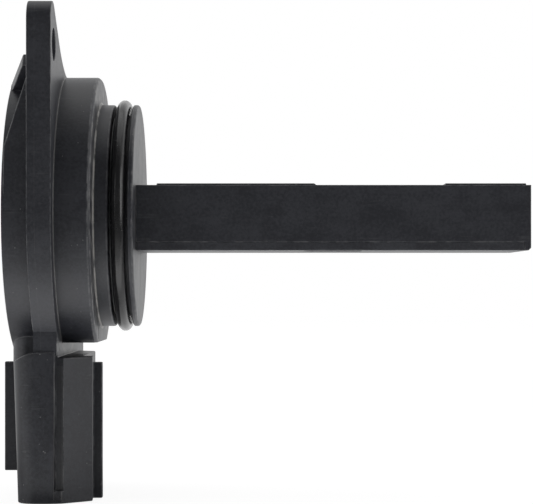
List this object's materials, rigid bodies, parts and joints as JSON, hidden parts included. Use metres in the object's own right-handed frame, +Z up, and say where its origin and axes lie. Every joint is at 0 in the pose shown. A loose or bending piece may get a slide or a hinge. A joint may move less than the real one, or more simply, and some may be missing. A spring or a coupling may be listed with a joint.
{
  "type": "mass air flow sensor",
  "caption": "Plug-in mass air flow sensor: two-ear flange with sealed pilot, flat rectangular probe with air passage and heated wire, and shrouded multi-pin connector.",
  "frame": {"origin": "on the pilot's axis, at the flange's seating face", "axes": "+X runs along the probe, away from the flange; +Z is up, and the connector hangs down along -Z; Y is the direction of the air flow past the probe"},
  "size_m": [0.0806, 0.048, 0.0741],
  "materials": {
    "housing_plastic": "satin moulded, glass filled",
    "probe_plastic": "satin moulded, glass filled",
    "seal_rubber": "smooth, slightly dusty",
    "adhesive": "semi-gloss bead",
    "terminal_tin": "bright tin plate",
    "heat_plate": "satin",
    "ceramic": "fired ceramic",
    "chip_epoxy": "moulded epoxy",
    "capacitor_body": "fired ceramic",
    "resistor_body": "glazed",
    "bond_gold": "bright",
    "gel": "clear soft gel",
    "bobbin_ceramic": "glazed",
    "bead_glass": "glass-coated bead"
  },
  "bodies": {
    "root": {"housing": "housing_plastic", "rear_cover": "housing_plastic", "cover_adhesive": "adhesive", "o_ring": "seal_rubber", "probe_body": "probe_plastic", "bypass_cover": "probe_plastic", "element_cover": "probe_plastic", "base_plate": "heat_plate", "circuit_board": "ceramic", "control_chip": "chip_epoxy", "power_transistor": "chip_epoxy", "capacitors": "capacitor_body", "resistors": "resistor_body", "bond_wires": "bond_gold", "potting_gel": "gel", "terminal_1": "terminal_tin", "terminal_2": "terminal_tin", "terminal_3": "terminal_tin", "terminal_4": "terminal_tin", "terminal_5": "terminal_tin", "element_holder": "probe_plastic", "heater_pins": "terminal_tin", "compensation_pins": "terminal_tin", "thermistor_pins": "terminal_tin", "hot_wire": "bobbin_ceramic", "cold_wire": "bobbin_ceramic", "air_thermistor": "bead_glass"}
  },
  "joints": []
}
